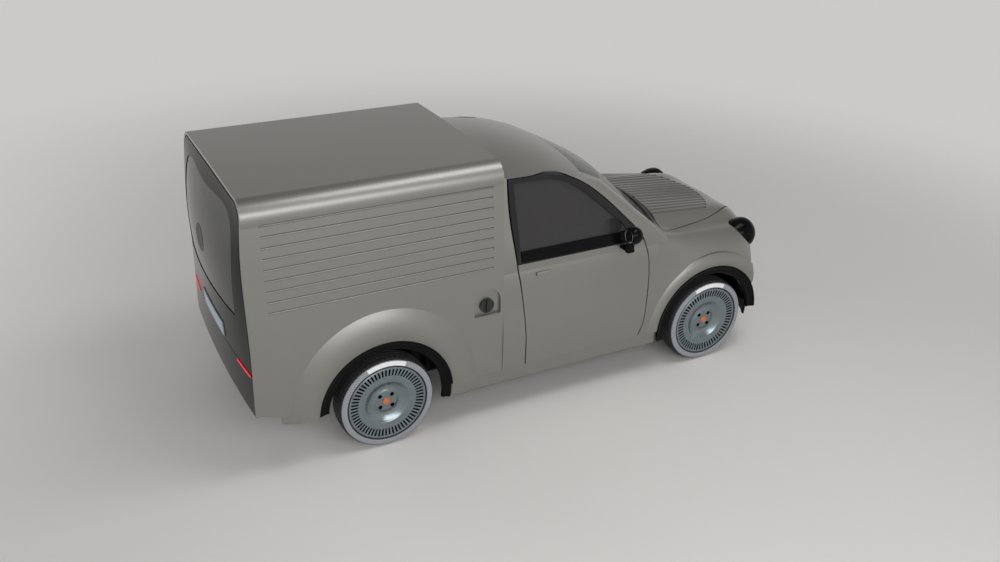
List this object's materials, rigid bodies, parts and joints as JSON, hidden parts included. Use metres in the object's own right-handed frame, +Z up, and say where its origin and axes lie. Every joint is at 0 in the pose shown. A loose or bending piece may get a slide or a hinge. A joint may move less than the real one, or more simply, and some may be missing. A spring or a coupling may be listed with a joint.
{
  "type": "small panel van",
  "caption": "Small two-seat panel van with a ribbed cargo box, rounded cab and nose, opening doors, bonnet and tailgate, and steered, rolling wheels.",
  "frame": {"origin": "on the ground under the middle of the van's bounding box", "axes": "+X towards the nose, +Y to the van's left, +Z up"},
  "size_m": [4.0109, 1.82, 1.817],
  "materials": {
    "body_paint": "satin",
    "black_gloss": "gloss",
    "black_plastic": "matt",
    "dark_glass": "polished",
    "clear_glass": "polished",
    "lamp_red": "gloss",
    "lamp_dark": "gloss",
    "plate_blank": "satin",
    "underbody": "matt",
    "cast": "rough",
    "steel": "brushed",
    "wheel_alloy": "satin",
    "tyre_rubber": "matt",
    "trim": "matt",
    "cloth": "woven"
  },
  "bodies": {
    "body": {"arch_liners": "black_plastic", "box_roof": "body_paint", "box_side_left": "body_paint", "box_side_right": "body_paint", "bulkhead": "trim", "cab_frame": "body_paint", "cowl": "black_plastic", "dashboard": "trim", "engine_block": "cast", "floor_pan": "underbody", "front_subframe": "underbody", "fuel_cap": "black_plastic", "grille": "black_gloss", "headlamps": "lamp_dark", "nose_panel": "body_paint", "rear_axle": "steel", "rear_bumper": "black_gloss", "rear_lamps": "lamp_red", "seats": "cloth", "sills": "black_plastic", "steering_wheel": "trim", "windscreen": "clear_glass", "wing_left": "body_paint", "wing_right": "body_paint"},
    "knuckle_right": {"knuckle_right": "cast"},
    "knuckle_left": {"knuckle_left": "cast"},
    "door_right": {"door_right": "body_paint", "door_glass_right": "dark_glass", "mirror_right": "black_gloss"},
    "door_left": {"door_left": "body_paint", "door_glass_left": "dark_glass", "mirror_left": "black_gloss"},
    "bonnet": {"bonnet": "body_paint"},
    "tailgate": {"tailgate": "black_gloss", "tailgate_glass": "dark_glass", "number_plate": "plate_blank"},
    "wheel_front_right": {"wheel_front_right": "wheel_alloy", "tyre_front_right": "tyre_rubber"},
    "wheel_front_left": {"wheel_front_left": "wheel_alloy", "tyre_front_left": "tyre_rubber"},
    "wheel_rear_right": {"wheel_rear_right": "wheel_alloy", "tyre_rear_right": "tyre_rubber"},
    "wheel_rear_left": {"wheel_rear_left": "wheel_alloy", "tyre_rear_left": "tyre_rubber"}
  },
  "joints": [
    {"name": "steer_right", "type": "hinge", "parent": "body", "child": "knuckle_right", "pos_m": [1.441, -0.64, 0.215], "axis": [0, 0.1452, 0.9894], "range_deg": [-32, 32]},
    {"name": "steer_left", "type": "hinge", "parent": "body", "child": "knuckle_left", "pos_m": [1.441, 0.64, 0.215], "axis": [0, -0.1452, 0.9894], "range_deg": [-32, 32]},
    {"name": "spin_front_right", "type": "hinge", "parent": "knuckle_right", "child": "wheel_front_right", "pos_m": [1.441, -0.694, 0.325], "axis": [0, 1, 0], "continuous": true},
    {"name": "spin_front_left", "type": "hinge", "parent": "knuckle_left", "child": "wheel_front_left", "pos_m": [1.441, 0.694, 0.325], "axis": [0, 1, 0], "continuous": true},
    {"name": "spin_rear_right", "type": "hinge", "parent": "body", "child": "wheel_rear_right", "pos_m": [-1.1, -0.694, 0.325], "axis": [0, 1, 0], "continuous": true},
    {"name": "spin_rear_left", "type": "hinge", "parent": "body", "child": "wheel_rear_left", "pos_m": [-1.1, 0.694, 0.325], "axis": [0, 1, 0], "continuous": true},
    {"name": "door_right_swing", "type": "hinge", "parent": "body", "child": "door_right", "pos_m": [0.785, -0.752, 0.585], "axis": [0, 0, 1], "range_deg": [0, 65]},
    {"name": "door_left_swing", "type": "hinge", "parent": "body", "child": "door_left", "pos_m": [0.785, 0.752, 0.585], "axis": [0, 0, -1], "range_deg": [0, 65]},
    {"name": "bonnet_lift", "type": "hinge", "parent": "body", "child": "bonnet", "pos_m": [1.951, 0, 0.944], "axis": [0, 1, 0], "range_deg": [0, 50]},
    {"name": "tailgate_lift", "type": "hinge", "parent": "body", "child": "tailgate", "pos_m": [-1.896, 0, 1.776], "axis": [0, 1, 0], "range_deg": [0, 80]}
  ],
  "couplings": [
    {"joint": "steer_left", "follows": "steer_right", "ratio": 1}
  ]
}
